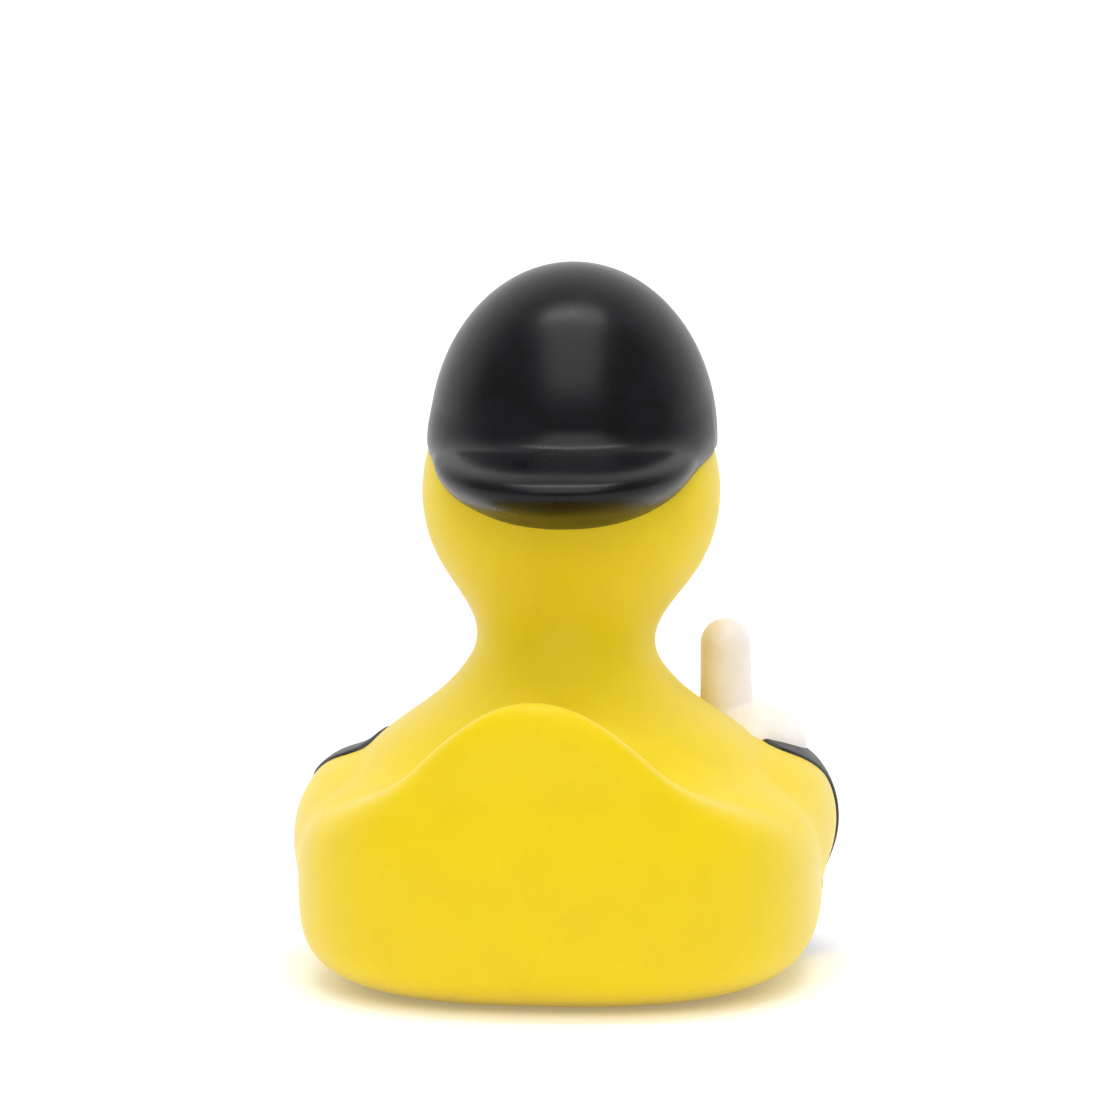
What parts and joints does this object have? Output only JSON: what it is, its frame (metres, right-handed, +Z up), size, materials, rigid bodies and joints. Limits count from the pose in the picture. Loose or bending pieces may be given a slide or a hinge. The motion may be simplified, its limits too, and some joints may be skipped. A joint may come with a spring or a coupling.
{
  "type": "rubber duck",
  "caption": "Hollow yellow bath duck with an upturned tail, a glossy black peaked cap worn backwards, a black vest and one raised hand; stands on a flat base.",
  "frame": {"origin": "on the surface the duck stands on, under the middle of its box", "axes": "+Z up, +Y towards the beak, +X towards the wing with the raised hand"},
  "size_m": [0.0672, 0.0766, 0.0883],
  "materials": {
    "yellow_vinyl": "smooth matt moulded soft vinyl, with fields of glossy black, skin, orange and white paint"
  },
  "bodies": {
    "root": {"duck": "yellow_vinyl"}
  },
  "joints": []
}
